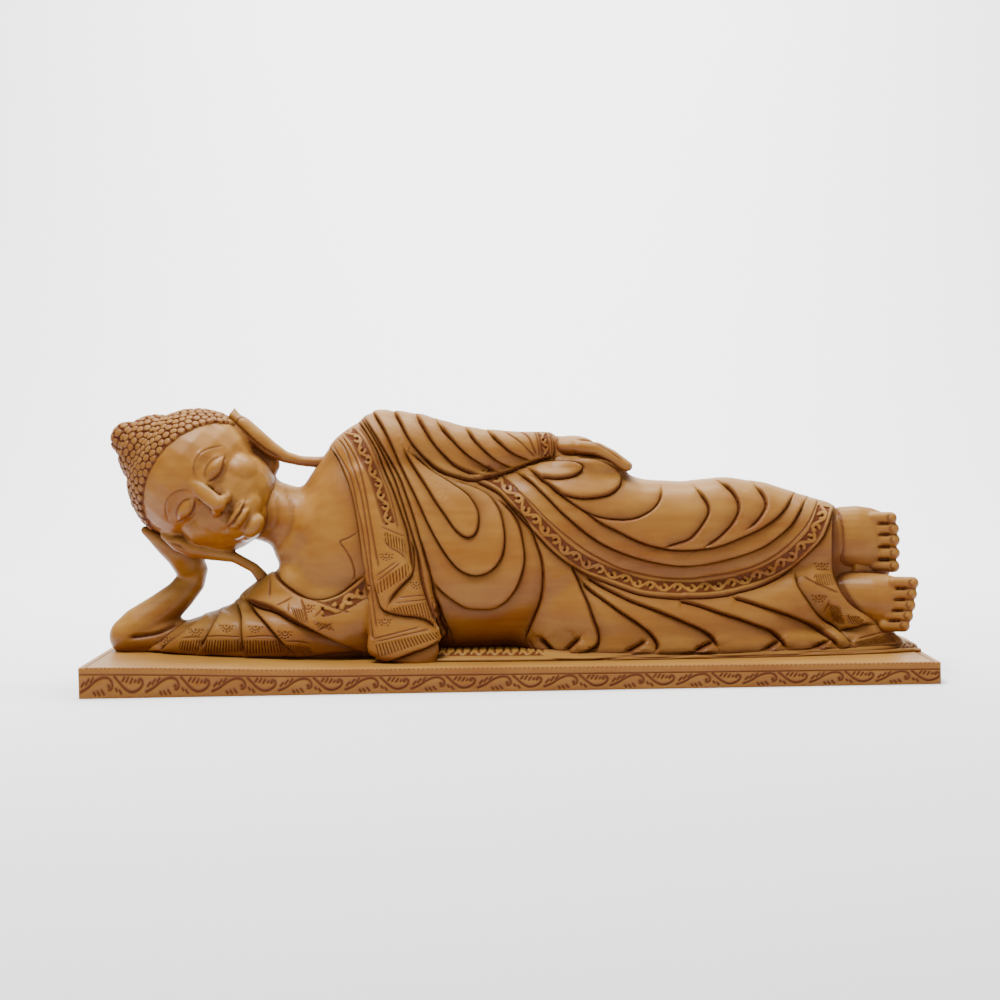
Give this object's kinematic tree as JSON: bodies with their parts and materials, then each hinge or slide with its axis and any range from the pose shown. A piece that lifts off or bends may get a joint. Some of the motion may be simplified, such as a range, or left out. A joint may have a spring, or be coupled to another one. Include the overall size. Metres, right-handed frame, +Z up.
{
  "type": "reclining buddha statue",
  "caption": "Reclining buddha carved in pale wood, head propped on the right hand, robe in folds, on a mat and a plain plinth with a carved front.",
  "frame": {"origin": "middle of the plinth's underside", "axes": "+X along the plinth from the head to the feet, +Y to the figure's back, +Z up"},
  "size_m": [0.6, 0.15, 0.2016],
  "materials": {
    "carved_wood": "hand carved pale wood, stained brown in the hollows, satin lacquer"
  },
  "bodies": {
    "root": {"reclining_buddha": "carved_wood"}
  },
  "joints": []
}
